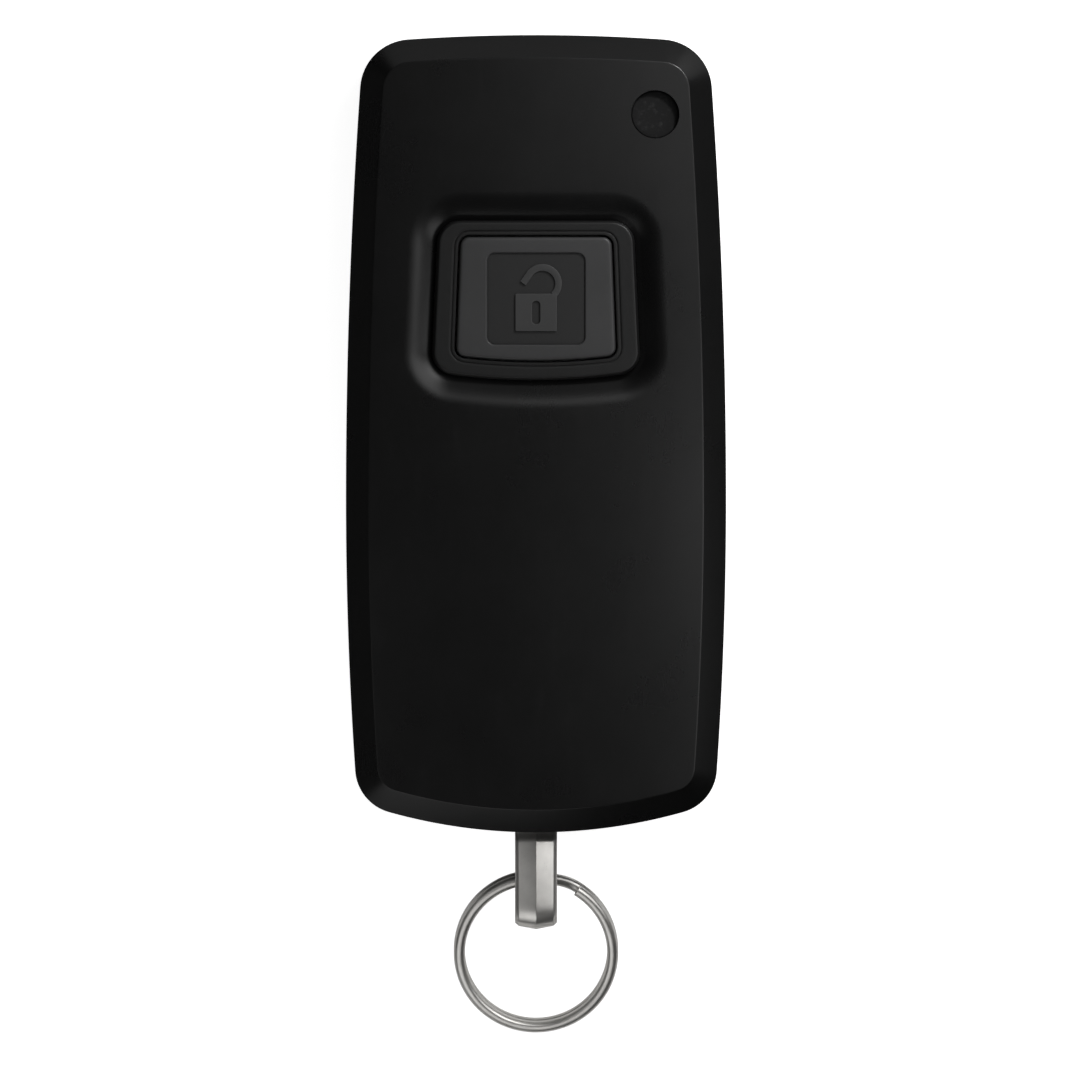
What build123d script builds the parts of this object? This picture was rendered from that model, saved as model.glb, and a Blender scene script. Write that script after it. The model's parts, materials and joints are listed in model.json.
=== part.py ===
from build123d import *
from math import asin, atan2, cos, degrees, pi, radians, sin, sqrt, tan
import os

os.makedirs("parts", exist_ok=True)

# Door lock remote control, millimetres.
# X to the right and Y to the top as the front face is seen, Z out of the front face.
# The origin is in the middle of the outline, on the back face.

# Housing outline
body_length = 77.8
body_width = 37.1
widest_below_middle = 6.4
top_corner_narrowing = 3.4
top_corner_drop = 0.78
bottom_corner_narrowing = 2.25
bottom_corner_rise = 2.94
top_corner_radius = 5.0
bottom_corner_radius = 4.5

# Housing shells
wall = 1.5
front_wall = 1.6
rear_floor = 1.5
bevel_width = 2.2
bevel_depth = 1.5
face_crown = 0.3
back_edge = 1.1
lip_thickness = 0.65
lip_height = 0.8
lip_end_gap = 14.0
parting_gap = 0.06

# Button
button_from_top = 25.75
cap_top_width = 14.7
cap_bottom_width = 15.6
cap_height = 12.05
cap_bow = 0.4
cap_corner = 0.9
cap_edge = 0.35
cap_proud = 0.4
cap_skin = 1.3
cap_flange = 0.9
cap_flange_thickness = 0.7
cap_gap = 0.2
press_travel = 0.35
sign_recess_width = 9.6
sign_recess_height = 9.0
sign_recess_depth = 0.3
sign_recess_corner = 0.8

# Bezel and the moat round it
bezel_top_width = 19.1
bezel_bottom_width = 20.5
bezel_height = 15.6
bezel_below_cap = 0.15
bezel_bow = 0.5
bezel_corner = 2.3
bezel_edge = 0.25
bezel_lip = 0.45
bezel_lip_depth = 0.15
bezel_proud = 0.1
bezel_flange = 1.0
bezel_flange_thickness = 0.95
moat_width = 2.2
moat_depth = 0.8
moat_overshoot = 0.12
moat_steps = 3

# Indicator window
window_from_side = 6.92
window_from_top = 7.75
window_hole = 4.7
window_depth = 1.2
window_flange = 0.55
window_flange_thickness = 0.6
light_stem = 3.0

# Coin cell and battery door
battery_from_bottom = 23.9
cell_diameter = 20.0
cell_height = 3.2
cell_skin = 0.25
cell_cap_step = 1.3
door_diameter = 24.0
door_recess = 0.1
door_flange_thickness = 1.05
door_neck = 21.3
ledge_thickness = 0.6
lug_reach = 1.0
lug_thickness = 0.55
lug_angle = 28.0
lug_count = 3
door_turn = 45.0
coin_slot_length = 13.0
coin_slot_width = 1.9
coin_slot_depth = 0.7
seal_section = 0.6
seal_diameter = 22.9
well_wall = 1.0
door_ring_wall = 1.3
track_roof = 0.8

# Circuit board and what it carries
board_thickness = 0.8
contact_space = 0.9
board_edge_gap = 0.35
board_end_from_bottom = 10.0
switch_width = 6.2
switch_height = 1.5
switch_plate_thickness = 0.2
stem_diameter = 3.1
stem_proud = 0.5
membrane_wall = 1.0
membrane_roof = 0.8
contact_strip = 0.15
contact_width = 4.0
chip_size = 5.0
chip_height = 0.85
antenna_wire = 0.8
antenna_height = 2.0
passive_length = 1.6
passive_width = 0.8
passive_height = 0.7
passive_pitch = 2.4
passive_count = 6
led_length = 2.0
led_width = 1.25
led_height = 0.8

# Screws
screw_core = 1.8
screw_head = 3.6
screw_head_height = 1.3
screw_head_sunk = 0.9
screw_length = 7.6
boss_diameter = 4.2
pillar_diameter = 5.0
screw_from_side = 5.15
screw_from_bottom = 7.9
screw_from_top = 5.9

# Link, pin and split ring
link_width = 4.1
link_ridge_thickness = 1.2
link_edge_thickness = 0.55
link_facet_inset = 0.35
link_gap = 2.96
link_reach = 9.5
link_lift = 25.0
link_side_gap = 0.25
pin_diameter = 2.8
pin_length = 12.0
pin_from_bottom = 2.9
pin_below_parting = 1.3
saddle_wall = 0.9
saddle_depth = 3.4
ring_outer = 16.1
ring_wire_radial = 1.1
ring_wire_axial = 1.2
ring_wire_edge = 0.2
ring_coil_gap = 0.05
ring_below_body = 4.41
ring_cut_angle = 57.5
ring_jog_angle = 35.0
ring_jog_steps = 5

# Clearances
running = 0.03
seat = 0.02
slide = 0.05
free = 0.1

# Flat sides of hidden round forms and screw heads, few to keep the facets low
small_sides = 12
large_sides = 30
head_sides = 18

# Heights, back to front
half_length = body_length / 2
half_width = body_width / 2
counterbore_top = door_recess + door_flange_thickness + slide
ledge_top = counterbore_top + ledge_thickness
lug_bottom = ledge_top + slide
door_top = lug_bottom + lug_thickness
cell_bottom = door_top + slide
cell_cap_diameter = cell_diameter - 2 * cell_cap_step
cell_top = cell_bottom + cell_height
board_bottom = cell_top + contact_space
board_top = board_bottom + board_thickness
parting_height = board_bottom - parting_gap
plate_bottom = board_top + switch_height
plate_top = plate_bottom + switch_plate_thickness
stem_top = plate_top + stem_proud
membrane_top = stem_top + seat + membrane_roof
ceiling = membrane_top + bezel_flange_thickness + seat
body_thickness = ceiling + front_wall
face_half_width = half_width - bevel_width
crown_radius = face_half_width ** 2 / (2 * face_crown)
bezel_top = body_thickness + bezel_proud
cap_flange_bottom = membrane_top + press_travel + free
cap_flange_top = cap_flange_bottom + cap_flange_thickness
bezel_shoulder = cap_flange_top + running
cap_top = bezel_top + cap_proud

# Places
button_place = (0, half_length - button_from_top)
window_place = (half_width - window_from_side, half_length - window_from_top)
battery_place = (0, battery_from_bottom - half_length)
board_end = board_end_from_bottom - half_length
screw_side = half_width - screw_from_side
top_screw_place = (0, half_length - screw_from_top)
low_screw_height = screw_from_bottom - half_length
axis_height = parting_height - pin_below_parting
pin_place = (0, pin_from_bottom - half_length, axis_height)
link_outer_radius = link_gap / 2 + link_ridge_thickness

# The ring hangs in the link and its far side lies on the table
ring_radius = (ring_outer - ring_wire_radial) / 2
ring_coil_pitch = ring_wire_axial + ring_coil_gap
ring_half_stack = ring_coil_pitch / 2 + ring_wire_axial / 2
ring_hinge = (0, -half_length - ring_below_body, axis_height)
ring_far_reach = ring_radius + ring_outer / 2
ring_tilt = degrees(
    asin(axis_height / sqrt(ring_far_reach ** 2 + ring_half_stack ** 2))
    - atan2(ring_half_stack, ring_far_reach)
)


def arc_meeting(side_centre, side_radius, end_centre, end_radius):
    """Right-hand point where a side arc and an end arc of the outline meet."""
    across = end_centre[0] - side_centre[0]
    along = end_centre[1] - side_centre[1]
    distance = sqrt(across ** 2 + along ** 2)
    reach = (side_radius ** 2 - end_radius ** 2 + distance ** 2) / (2 * distance)
    offside = sqrt(side_radius ** 2 - reach ** 2)
    x = (reach * across + offside * abs(along)) / distance + side_centre[0]
    turned = offside * across if along < 0 else -offside * across
    return x, (reach * along + turned) / distance + side_centre[1]


def outline_corner(narrower, apex, rise, inset):
    """Right-hand corner of the outline at one end, where its inset side and end arcs meet."""
    corner = (half_width - narrower / 2, apex - rise if apex > 0 else apex + rise)
    narrowing = half_width - corner[0]
    height = corner[1] + widest_below_middle
    side_radius = (narrowing ** 2 + height ** 2) / (2 * narrowing)
    side_centre = (half_width - side_radius, -widest_below_middle)
    end_radius = (corner[0] ** 2 + rise ** 2) / (2 * rise)
    end_centre = (0, apex - end_radius if apex > 0 else apex + end_radius)
    return arc_meeting(side_centre, side_radius - inset, end_centre, end_radius - inset)


def body_outline(inset=0.0):
    """Outline of the housing, moved inwards by inset."""
    top_x, top_y = outline_corner(top_corner_narrowing, half_length, top_corner_drop, inset)
    low_x, low_y = outline_corner(bottom_corner_narrowing, -half_length, bottom_corner_rise, inset)
    side = half_width - inset
    end = half_length - inset
    outline = make_face([
        TangentArc((side, -widest_below_middle), (top_x, top_y), tangent=(0, 1)),
        ThreePointArc((top_x, top_y), (0, end), (-top_x, top_y)),
        TangentArc((-side, -widest_below_middle), (-top_x, top_y), tangent=(0, 1)),
        TangentArc((-side, -widest_below_middle), (-low_x, low_y), tangent=(0, -1)),
        ThreePointArc((-low_x, low_y), (0, -end), (low_x, low_y)),
        TangentArc((side, -widest_below_middle), (low_x, low_y), tangent=(0, -1)),
    ])
    top_corners = outline.vertices().sort_by(Axis.Y)[-2:]
    outline = fillet(top_corners, top_corner_radius - inset)
    low_corners = [v for v in outline.vertices() if abs(v.Y - low_y) < seat]
    return upright(fillet(low_corners, bottom_corner_radius - inset))


def upright(sketch):
    """The sketch with its face turned to +Z."""
    face = sketch.faces()[0]
    return -face if face.normal_at().Z < 0 else face


def slab(profile, bottom, top):
    """Profile on the XY plane, raised from bottom to top."""
    return Pos(0, 0, bottom) * extrude(profile, top - bottom)


def disc(place, diameter, bottom, top):
    """Upright round solid at a place in plan."""
    height = top - bottom
    return Pos(place[0], place[1], bottom + height / 2) * Cylinder(diameter / 2, height)


def prism(place, diameter, bottom, top, sides=small_sides):
    """Upright round solid with a few flat sides, where nothing shows it."""
    polygon = upright(RegularPolygon(diameter / 2, sides))
    return Pos(place[0], place[1], 0) * slab(polygon, bottom, top)


def block(low, high):
    """Box between two corners."""
    sides = [b - a for a, b in zip(low, high)]
    middle = [(a + b) / 2 for a, b in zip(low, high)]
    return Pos(*middle) * Box(*sides)


def keystone(top_width, bottom_width, height, bow, corner, grow):
    """Four-sided outline, wider at its bowed bottom edge, moved outwards by grow."""
    slant = atan2((bottom_width - top_width) / 2, height - bow)
    top_half = top_width / 2 + grow / cos(slant) - grow * tan(slant)
    low_half = bottom_width / 2 + grow / cos(slant) + grow * tan(slant)
    top = height / 2 + grow
    low = bow - height / 2 - grow
    outline = make_face([
        Line((top_half, top), (-top_half, top)),
        Line((-top_half, top), (-low_half, low)),
        ThreePointArc((-low_half, low), (0, low - bow), (low_half, low)),
        Line((low_half, low), (top_half, top)),
    ])
    if corner:
        outline = fillet(outline.vertices(), corner + grow)
    return Pos(*button_place) * upright(outline)


def cap_outline(grow=0.0, corner=cap_corner):
    """Outline of the button cap; hidden edges take sharp corners."""
    return keystone(cap_top_width, cap_bottom_width, cap_height, cap_bow, corner, grow)


def bezel_outline(grow=0.0, corner=bezel_corner):
    """Outer outline of the bezel; hidden edges take sharp corners."""
    sizes = (bezel_top_width, bezel_bottom_width, bezel_height, bezel_bow)
    return Pos(0, -bezel_below_cap) * keystone(*sizes, corner, grow)


def screw_places():
    """Plan places of the three case screws."""
    low = [(side * screw_side, low_screw_height) for side in (-1, 1)]
    return [top_screw_place] + low


def side_lips(outer_inset, inner_inset, height, spare=0.0):
    """Strips along both sides that stand on the parting plane."""
    ring = body_outline(outer_inset) - body_outline(inner_inset)
    strips = slab(ring, parting_height, parting_height + height)
    reach = half_length - lip_end_gap + spare
    return strips & block((-half_width, -reach, 0), (half_width, reach, body_thickness))


def link_slot():
    """Space that the link needs in both shells, from its rest to its full lift."""
    side = link_width / 2 + link_side_gap
    lift = radians(link_lift)
    raised = link_outer_radius / cos(lift) + pin_from_bottom * tan(lift)
    low = (-side, -half_length - wall, axis_height - link_outer_radius - slide)
    high = (side, pin_place[1] + link_outer_radius + free * 2, axis_height + raised + free)
    return block(low, high)


def pin_groove():
    """Round seat of the link pin across both saddles."""
    bore = Cylinder(pin_diameter / 2 + running, pin_length + 2 * slide)
    return Pos(*pin_place) * Rot(0, 90, 0) * bore


def pin_keys(gap, bottom):
    """Blocks that close the saddles over the pin, or with no gap the slots that take them."""
    side = pin_length / 2 + slide - gap
    half = pin_diameter / 2 + running - gap
    low = (-side, pin_place[1] - half, bottom)
    high = (side, pin_place[1] + half, parting_height + free)
    return block(low, high)


def saddles(bottom, top):
    """Blocks inside the bottom end that hold the pin, before groove and slot are cut."""
    side = pin_length / 2 + saddle_wall
    low = (-side, -half_length + wall / 2, bottom)
    high = (side, -half_length + wall + saddle_depth, top)
    return block(low, high) & slab(body_outline(wall / 2), bottom, top)


def front_shape():
    """Outside of the front shell: crowned face with a bevel all round."""
    solid = slab(body_outline(), parting_height + parting_gap, body_thickness)
    crown = Pos(0, 0, body_thickness - crown_radius) * Rot(90, 0, 0)
    solid = solid & crown * Cylinder(crown_radius, body_length * 2)
    face = solid.faces().sort_by(Axis.Z)[-1]
    return chamfer(face.edges(), bevel_width, bevel_depth, reference=face)


def moat_cutter():
    """Soft channel round the bezel: steep at its foot, easing out to the face."""
    foot = body_thickness - moat_depth
    depth = moat_depth + moat_overshoot
    sections = []
    for step in range(moat_steps + 1):
        share = step / moat_steps
        rise = depth * (1 - cos(pi * share)) / 2
        sections.append(Pos(0, 0, foot + rise) * bezel_outline(slide + moat_width * share))
    return loft(sections, ruled=True)


def make_front_cover():
    """Front shell with moat, button opening, window hole, bosses and link saddles."""
    cavity = slab(body_outline(wall), 0, ceiling)
    shell = front_shape() - cavity
    shell -= side_lips(wall - lip_thickness - free, wall + free, lip_height + free, free)
    for place in screw_places():
        bottom = board_top + seat if place[1] > board_end else parting_height + parting_gap
        shell += prism(place, boss_diameter, bottom, ceiling + seat)
    shell += saddles(parting_height + parting_gap, ceiling + seat)
    shell += pin_keys(2 * running, axis_height + pin_diameter / 3)
    shell -= moat_cutter()
    shell -= slab(bezel_outline(slide), ceiling - free, body_thickness + free)
    shell -= disc(window_place, window_hole, ceiling - free, body_thickness + free)
    for place in screw_places():
        tip = screw_head_sunk + screw_head_height + screw_length
        shell -= prism(place, screw_core + 2 * seat, parting_height, tip + slide)
    return shell - link_slot() - pin_groove()


def make_button_bezel():
    """Raised frame with a flange behind the front wall and a shoulder for the cap."""
    frame = slab(bezel_outline(), membrane_top, bezel_top)
    frame = chamfer(frame.faces().sort_by(Axis.Z)[-1].edges(), bezel_edge)
    frame += slab(bezel_outline(bezel_flange, 0), membrane_top, ceiling - seat)
    opening = slab(cap_outline(cap_gap), membrane_top - free, bezel_top + free)
    opening += slab(cap_outline(cap_flange + cap_gap / 2, 0), membrane_top - free, bezel_shoulder)
    opening += slab(cap_outline(cap_gap + bezel_lip), bezel_top - bezel_lip_depth, bezel_top + free)
    return frame - opening


def make_button_cap():
    """Press cap: hollow, flanged, with a post for the switch and a sunk square for the sign."""
    cap = slab(cap_outline(), cap_flange_bottom, cap_top)
    cap = chamfer(cap.faces().sort_by(Axis.Z)[-1].edges(), cap_edge)
    cap += slab(cap_outline(cap_flange, 0), cap_flange_bottom, cap_flange_top)
    cap -= slab(cap_outline(-cap_skin, 0), cap_flange_bottom - free, cap_top - cap_skin)
    cap += prism(button_place, stem_diameter + cap_skin, membrane_top + slide, cap_top - cap_skin)
    square = RectangleRounded(sign_recess_width, sign_recess_height, sign_recess_corner)
    recess = slab(square, cap_top - sign_recess_depth, cap_top + free)
    return cap - Pos(*button_place) * recess


def make_indicator_window():
    """Window disc in the hole, flange behind the wall and a stem that guides the light."""
    top = body_thickness - window_depth
    flange_bottom = ceiling - seat - window_flange_thickness
    window = disc(window_place, window_hole - 2 * slide, ceiling - seat, top)
    window += prism(window_place, window_hole + 2 * window_flange, flange_bottom, ceiling - seat)
    stem_bottom = board_top + led_height + 3 * free
    return window + prism(window_place, light_stem, stem_bottom, flange_bottom)


def battery_lugs(grow_angle, reach, bottom, top, turn):
    """Ring sectors on the door's neck, or the notches that let them through."""
    ring = Circle(door_neck / 2 + reach) - Circle(door_neck / 2 - lug_reach)
    span = lug_angle + grow_angle
    far = door_diameter
    wedge = make_face(Polyline(
        (0, 0),
        (far * cos(radians(-span / 2)), far * sin(radians(-span / 2))),
        (far * cos(radians(span / 2)), far * sin(radians(span / 2))),
        close=True,
    ))
    sector = ring & upright(wedge)
    lugs = []
    for number in range(lug_count):
        angle = 90 + turn + number * 360 / lug_count
        lugs.append(Rot(0, 0, angle) * slab(sector, bottom, top))
    return [Pos(*battery_place) * lug for lug in lugs]


def make_rear_cover():
    """Back shell with battery well and door seat, pillars, lip and link saddles."""
    shell = slab(body_outline(), 0, parting_height)
    shell = chamfer(shell.faces().sort_by(Axis.Z)[0].edges(), back_edge)
    shell -= slab(body_outline(wall), rear_floor, parting_height + free)
    shell += side_lips(wall - lip_thickness, wall, lip_height)
    shell += saddles(rear_floor - free, parting_height)
    shell -= pin_keys(0, axis_height)
    bore = door_neck + 2 * free
    track = door_neck + 2 * lug_reach + 4 * free
    well = cell_diameter + 6 * free
    well_bottom = door_top + free
    for diameter, top in (
        (track + 2 * door_ring_wall, well_bottom + track_roof),
        (well + 2 * well_wall, board_bottom),
    ):
        shell += prism(battery_place, diameter, rear_floor - free, top, large_sides)
    shell -= disc(battery_place, door_diameter + 2 * free, -free, counterbore_top)
    shell -= prism(battery_place, bore, 0, well_bottom, large_sides)
    shell -= prism(battery_place, track, ledge_top, well_bottom, large_sides)
    shell -= prism(battery_place, well, 0, board_bottom + free, large_sides)
    notches = battery_lugs(4, lug_reach + free, counterbore_top - free, ledge_top + free, -door_turn)
    for notch in notches:
        shell -= notch
    shell -= contact_notch()
    for place in screw_places():
        top = board_bottom if place[1] > board_end else parting_height
        shell += prism(place, pillar_diameter, rear_floor - free, top)
    for place in screw_places():
        seat_height = screw_head_sunk + screw_head_height
        shell -= disc(place, screw_head + 3 * free, -free, seat_height)
        shell -= prism(place, screw_core + 3 * free, 0, board_bottom + free)
    return shell - link_slot() - pin_groove()


def contact_notch():
    """Gap in the battery well for the positive contact."""
    side = contact_width / 2 + 2 * free
    well = cell_diameter / 2
    low = (battery_place[0] + well - free, battery_place[1] - side, door_top + 3 * free)
    high = (battery_place[0] + well + 4 * well_wall, battery_place[1] + side, board_bottom + free)
    return block(low, high)


def make_battery_door():
    """Round door: flange with seal groove and coin slot, neck and bayonet lugs."""
    flange_top = counterbore_top - slide
    door = disc(battery_place, door_diameter, door_recess, flange_top)
    door += prism(battery_place, door_neck, flange_top, door_top, large_sides)
    for lug in battery_lugs(0, lug_reach, lug_bottom, door_top, 0):
        door += lug
    slot = SlotOverall(coin_slot_length, coin_slot_width)
    slot = slab(slot, -free, door_recess + coin_slot_depth)
    groove = seal_ring(slide, counterbore_top - seal_section - slide, counterbore_top)
    return door - groove - Pos(*battery_place) * slot


def seal_ring(grow, bottom, top):
    """Flat ring in the door's flange, with both walls moved outwards by grow."""
    outer = seal_diameter + seal_section + 2 * grow
    inner = seal_diameter - seal_section - 2 * grow
    ring = prism(battery_place, outer, bottom, top, large_sides)
    return ring - prism(battery_place, inner, bottom - free, top + free, large_sides)


def make_door_seal():
    """Square-section seal between door flange and counterbore."""
    return seal_ring(-seat, counterbore_top - seal_section, counterbore_top - seat)


def make_coin_cell():
    """Coin cell as can, minus cap and the gasket between them."""
    rim = cell_top - cell_skin
    can = prism(battery_place, cell_diameter, cell_bottom, rim, large_sides)
    inside = cell_bottom + cell_skin
    bore = cell_diameter - 2 * cell_skin
    can -= prism(battery_place, bore, inside, rim + free, large_sides)
    gasket = prism(battery_place, bore - slide, inside, rim, large_sides)
    gasket -= prism(battery_place, cell_cap_diameter + slide, cell_bottom, rim + free, large_sides)
    cap = prism(battery_place, cell_cap_diameter, inside + seat, cell_top, large_sides)
    cap = chamfer(cap.faces().sort_by(Axis.Z)[-1].edges(), cell_skin)
    return can, cap, gasket


def bent_strip(points, radius, width, across):
    """Spring strip of contact_strip thickness along a bent path."""
    path = FilletPolyline(*points, radius=radius)
    start = Plane(origin=path @ 0, x_dir=across, z_dir=path % 0)
    return sweep(start * Rectangle(width, contact_strip), path=path)


def make_positive_contact():
    """Strip from the board's underside down to the side of the can."""
    x = battery_place[0] + cell_diameter / 2 + slide + contact_strip / 2
    y = battery_place[1]
    top = board_bottom - seat - contact_strip / 2
    outer = x + 2 * well_wall
    points = [
        (outer, y, top),
        (x + contact_strip, y, top),
        (x, y, cell_bottom + cell_height / 2),
        (x + contact_strip, y, cell_bottom + cell_skin),
    ]
    return bent_strip(points, contact_strip * 2, contact_width, (0, 1, 0))


def make_negative_contact():
    """Sprung strip from the board's underside to the middle of the cell's cap."""
    x, y = battery_place
    top = board_bottom - seat - contact_strip / 2
    low = cell_top + seat + contact_strip / 2
    points = [
        (x, y + 2 * contact_width, top),
        (x, y + contact_width, top),
        (x, y, low),
        (x, y - contact_width / 2, low + 2 * contact_strip),
    ]
    return bent_strip(points, contact_strip * 3, contact_width, (1, 0, 0))


def make_circuit_board():
    """Board cut to the inside of the shells, clear of the link, with screw holes."""
    outline = body_outline(wall + board_edge_gap)
    board = slab(outline, board_bottom, board_top)
    board &= block((-half_width, board_end, 0), (half_width, half_length, body_thickness))
    for place in screw_places():
        board -= prism(place, screw_core + 4 * free, board_bottom - free, board_top + free)
    return board


def make_switch():
    """Tactile switch as base, metal plate, stem and snap dome."""
    x, y = button_place
    half = switch_width / 2
    stem_foot = plate_bottom - free
    dome_bottom = board_top + 4 * free
    dome_top = stem_foot - press_travel + seat
    base = block((x - half, y - half, board_top), (x + half, y + half, plate_bottom - seat))
    base -= prism(button_place, stem_diameter + 20 * free, dome_bottom, plate_bottom)
    plate = block((x - half, y - half, plate_bottom), (x + half, y + half, plate_top))
    plate -= prism(button_place, stem_diameter + 2 * free, plate_bottom - free, plate_top + free)
    stem_bottom = stem_foot - press_travel + 3 * seat
    stem = prism(button_place, stem_diameter, stem_bottom, stem_top)
    stem += prism(button_place, stem_diameter + 8 * free, stem_bottom, stem_foot)
    dome = snap_dome(stem_diameter + 16 * free, dome_bottom + seat, dome_top)
    return base, plate, stem, dome


def snap_dome(diameter, bottom, top):
    """Thin sprung disc, stepped up to a flat crown."""
    dome = prism(button_place, diameter, bottom, bottom + free)
    dome += prism(button_place, diameter * 0.7, bottom, top)
    return dome - prism(button_place, diameter * 0.7 - 2 * free, bottom - free, top - free)


def make_keypad_membrane():
    """Silicone boot on the board: side wall, roof and a pad over the switch stem."""
    outline = bezel_outline(bezel_flange, 0)
    hollow = bezel_outline(bezel_flange - membrane_wall, 0)
    boot = slab(outline, board_top, membrane_top)
    boot -= slab(hollow, board_top - free, membrane_top - membrane_roof + seat)
    return boot


def make_indicator_led():
    """Lamp with a bevelled lens."""
    x, y = window_place
    low = (x - led_length / 2, y - led_width / 2, board_top)
    high = (x + led_length / 2, y + led_width / 2, board_top + led_height)
    lamp = block(low, high)
    return chamfer(lamp.faces().sort_by(Axis.Z)[-1].edges(), free * 2)


def make_radio_chip():
    """Flat transmitter chip with a corner mark."""
    x, y = -chip_size, -contact_width
    chip = block((x - chip_size, y - chip_size, board_top), (x, y, board_top + chip_height))
    mark = (x - chip_size + 8 * free, y - 8 * free)
    top = board_top + chip_height
    return chip - prism(mark, 6 * free, top - free, top + free)


def make_crystal():
    """Crystal can beside the chip."""
    x, y = -chip_size / 2, -contact_width - chip_size / 2
    half_long = passive_length
    half_wide = passive_length * 0.8
    can = block(
        (x - half_wide, y - half_long, board_top),
        (x + half_wide, y + half_long, board_top + chip_height),
    )
    return chamfer(can.edges().filter_by(Axis.Z), 4 * free)


def passive_row(x, top_y):
    """Column of like chips across the board, one solid each."""
    chips = []
    for number in range(passive_count):
        y = top_y - number * passive_pitch
        chip = block(
            (x - passive_length / 2, y - passive_width / 2, board_top),
            (x + passive_length / 2, y + passive_width / 2, board_top + passive_height),
        )
        chips.append(chip)
    return Compound(children=chips)


def make_loop_antenna():
    """Bent wire loop over the lower half of the board, its two feet soldered on top."""
    side = half_width - wall - board_edge_gap - 4 * antenna_wire
    near = -antenna_wire
    far = board_end + 2 * antenna_wire
    foot = board_top
    level = board_top + antenna_height
    points = [
        (-side, near, foot),
        (-side, near, level),
        (-side, far, level),
        (side, far, level),
        (side, near, level),
        (side, near, foot),
    ]
    path = Polyline(*points)
    section = Plane(origin=path @ 0, z_dir=path % 0) * RegularPolygon(antenna_wire / 2, 6)
    return sweep(section, path=path, transition=Transition.RIGHT)


def make_case_screws():
    """Three self-tapping screws, heads sunk in the back."""
    screws = []
    seat_height = screw_head_sunk + screw_head_height
    for place in screw_places():
        screw = prism(place, screw_head, screw_head_sunk, seat_height, head_sides)
        screw += prism(place, screw_core, seat_height, seat_height + screw_length)
        screws.append(screw)
    return Compound(children=screws)


def make_link_pin():
    """Steel pin across the bottom end."""
    return Pos(*pin_place) * Rot(0, 90, 0) * Cylinder(pin_diameter / 2, pin_length)


def link_section():
    """Section of the link's strap: flat inside, ridged outside; x across, y outwards."""
    side = link_width / 2
    edge = link_edge_thickness
    facet = edge + (link_ridge_thickness - edge) * link_facet_inset
    points = [
        (-side, 0),
        (side, 0),
        (side, edge),
        (side - link_facet_inset, facet + free),
        (0, link_ridge_thickness),
        (link_facet_inset - side, facet + free),
        (-side, edge),
    ]
    return upright(make_face(Polyline(*points, close=True)))


def make_key_link():
    """Closed loop of ridged strap: two straight runs joined by round ends."""
    inner = pin_place[1]
    outer = -half_length - link_reach + link_outer_radius
    radius = link_gap / 2
    upper = Plane(origin=(0, inner, axis_height + radius), x_dir=(1, 0, 0), z_dir=(0, -1, 0))
    lower = Plane(origin=(0, outer, axis_height - radius), x_dir=(1, 0, 0), z_dir=(0, 1, 0))
    section_up = upper * link_section()
    section_down = lower * link_section()
    run = inner - outer
    loop = extrude(section_up, run, dir=(0, -1, 0))
    loop += extrude(section_down, run, dir=(0, 1, 0))
    inner_axis = Axis((0, inner, axis_height), (1, 0, 0))
    outer_axis = Axis((0, outer, axis_height), (1, 0, 0))
    loop += revolve(section_up, inner_axis, -180)
    loop += revolve(section_down, outer_axis, -180)
    return loop


def chamfered_rectangle(width, height, edge):
    """Rectangle with its four corners cut by edge."""
    outline = Rectangle(width, height)
    return chamfer(outline.vertices(), edge)


def ring_section(angle, height):
    """Section of the ring's flat wire at an angle, in the ring's own plane."""
    direction = (cos(radians(angle)), sin(radians(angle)), 0)
    tangent = (-direction[1], direction[0], 0)
    origin = (ring_radius * direction[0], ring_radius * direction[1], height)
    plane = Plane(origin=origin, x_dir=direction, z_dir=tangent)
    return plane * chamfered_rectangle(ring_wire_radial, ring_wire_axial, ring_wire_edge)


def make_split_ring():
    """Two flat coils joined by a short step, cut ends on either side of it."""
    high = ring_coil_pitch / 2
    start = ring_cut_angle + ring_jog_angle
    turn = 360 - ring_jog_angle
    upper = revolve(ring_section(start, high), Axis.Z, turn)
    lower = revolve(ring_section(start, -high), Axis.Z, turn)
    steps = []
    for number in range(ring_jog_steps + 1):
        share = number / ring_jog_steps
        angle = ring_cut_angle + ring_jog_angle * share
        steps.append(ring_section(angle, -high * cos(pi * share)))
    ring = upper + lower + loft(steps, ruled=True)
    centre = (0, ring_hinge[1] - ring_radius * cos(radians(ring_tilt)),
              axis_height - ring_radius * sin(radians(ring_tilt)))
    return Pos(*centre) * Rot(ring_tilt, 0, 0) * ring


def make_parts():
    """Every piece by its node name."""
    can, cell_cap, gasket = make_coin_cell()
    base, plate, stem, dome = make_switch()
    return {
        "front_cover": make_front_cover(),
        "rear_cover": make_rear_cover(),
        "button_bezel": make_button_bezel(),
        "button_cap": make_button_cap(),
        "indicator_window": make_indicator_window(),
        "battery_door": make_battery_door(),
        "door_seal": make_door_seal(),
        "coin_cell_can": can,
        "coin_cell_cap": cell_cap,
        "coin_cell_gasket": gasket,
        "positive_contact": make_positive_contact(),
        "negative_contact": make_negative_contact(),
        "circuit_board": make_circuit_board(),
        "switch_body": base,
        "switch_plate": plate,
        "switch_stem": stem,
        "switch_dome": dome,
        "keypad_membrane": make_keypad_membrane(),
        "indicator_led": make_indicator_led(),
        "radio_chip": make_radio_chip(),
        "crystal": make_crystal(),
        "loop_antenna": make_loop_antenna(),
        "chip_capacitors": passive_row(chip_size, -contact_width),
        "chip_resistors": passive_row(-chip_size / 2 + chip_size, -contact_width),
        "case_screws": make_case_screws(),
        "link_pin": make_link_pin(),
        "key_link": make_key_link(),
        "split_ring": make_split_ring(),
    }


for name, shape in make_parts().items():
    export_step(shape, f"parts/{name}.step")
print("body thickness", round(body_thickness, 3), "ring tilt", round(ring_tilt, 3))
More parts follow.
